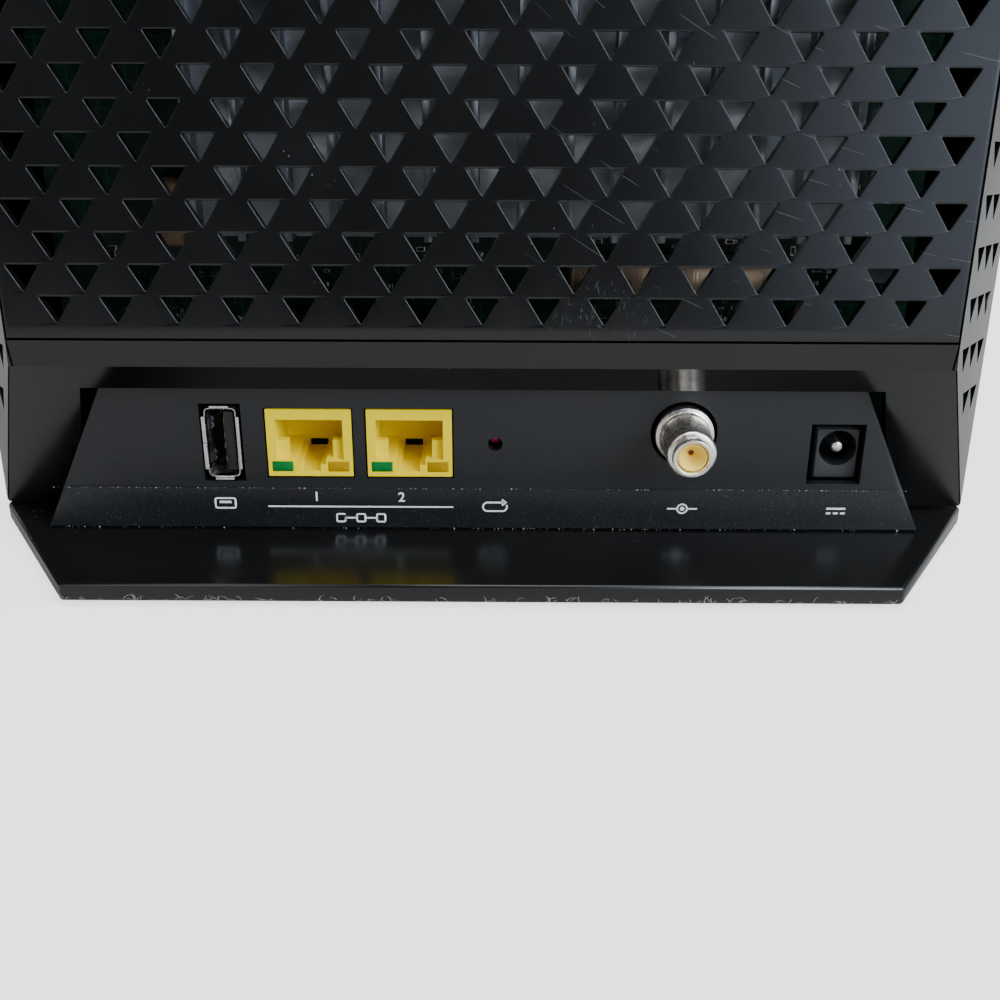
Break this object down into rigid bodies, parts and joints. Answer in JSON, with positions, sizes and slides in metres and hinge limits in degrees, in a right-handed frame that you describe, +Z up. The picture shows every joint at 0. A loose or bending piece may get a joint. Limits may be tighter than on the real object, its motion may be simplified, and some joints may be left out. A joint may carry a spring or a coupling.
{
  "type": "wireless router",
  "caption": "Upright cable modem router on a flat foot, with triangular vents in its back and a recessed row of sockets under a lip.",
  "frame": {"origin": "centre of the bounding box on the plane it stands on", "axes": "+Z up; the sockets and the vented back face -Y; +X is to the right when looking at the sockets"},
  "size_m": [0.198, 0.084, 0.23],
  "materials": {
    "gloss_black": "glossy, faint dust and hairline scratches",
    "textured_black": "fine moulded texture",
    "frame_black": "matt moulded",
    "rubber": "matt",
    "yellow": "bright yellow, satin",
    "green_lens": "translucent green",
    "amber_lens": "translucent amber",
    "red_button": "magenta red",
    "button_black": "satin gloss",
    "nickel": "bright nickel plate",
    "cream_insulator": "waxy cream",
    "steel": "bright tin plate",
    "shield_steel": "tin plate with a warm cast",
    "screw_steel": "zinc plate",
    "green_board": "green solder mask",
    "aluminium": "extruded, satin",
    "capacitor_can": "bright can",
    "tan_tape": "tan tape",
    "thermal_pad": "soft grey-blue",
    "smoked_window": "polished dark smoke",
    "light_guide": "frosted clear",
    "lead_black": "smooth jacket",
    "component_black": "moulded component body"
  },
  "bodies": {
    "router": {"activity_lens_1": "amber_lens", "activity_lens_2": "amber_lens", "antenna_lead_left": "lead_black", "antenna_lead_right": "lead_black", "antenna_left": "green_board", "antenna_right": "green_board", "back_grille": "gloss_black", "base_plate": "gloss_black", "base_screw_1": "screw_steel", "base_screw_2": "screw_steel", "base_screw_3": "screw_steel", "base_screw_4": "screw_steel", "board_screw_1": "screw_steel", "board_screw_2": "screw_steel", "board_screw_3": "screw_steel", "board_screw_4": "screw_steel", "capacitor_1": "capacitor_can", "capacitor_2": "capacitor_can", "capacitor_3": "capacitor_can", "coax_body": "nickel", "coax_dielectric": "cream_insulator", "dc_jack": "component_black", "dc_pin": "nickel", "ethernet_jack_1": "yellow", "ethernet_jack_2": "yellow", "ethernet_transformer": "component_black", "filter_coil": "tan_tape", "front_board": "green_board", "front_cover": "gloss_black", "heat_sink": "aluminium", "inner_frame": "frame_black", "light_guide": "light_guide", "link_lens_1": "green_lens", "link_lens_2": "green_lens", "lip_frame": "gloss_black", "main_board": "green_board", "main_chip": "component_black", "port_panel": "textured_black", "radio_shield_1": "shield_steel", "radio_shield_2": "shield_steel", "rear_cover": "gloss_black", "reset_switch": "component_black", "rubber_foot_1": "rubber", "rubber_foot_2": "rubber", "rubber_foot_3": "rubber", "rubber_foot_4": "rubber", "status_window": "smoked_window", "thermal_pad_1": "thermal_pad", "thermal_pad_2": "thermal_pad", "tuner_chip": "component_black", "tuner_shield": "shield_steel", "usb_shell": "steel", "usb_tongue": "component_black", "wifi_switch": "component_black", "wps_switch": "component_black"},
    "reset_key": {"reset_button": "red_button"},
    "wifi_key": {"wifi_button": "button_black"},
    "wps_key": {"wps_button": "button_black"}
  },
  "joints": [
    {"name": "reset_press", "type": "slide", "parent": "router", "child": "reset_key", "axis": [0, 1, 0], "range_m": [0, 0.0005], "stiffness_N_per_m": 3000},
    {"name": "wifi_press", "type": "slide", "parent": "router", "child": "wifi_key", "axis": [0, -1, 0], "range_m": [0, 0.0008], "stiffness_N_per_m": 2000},
    {"name": "wps_press", "type": "slide", "parent": "router", "child": "wps_key", "axis": [0, -1, 0], "range_m": [0, 0.0008], "stiffness_N_per_m": 2000}
  ]
}
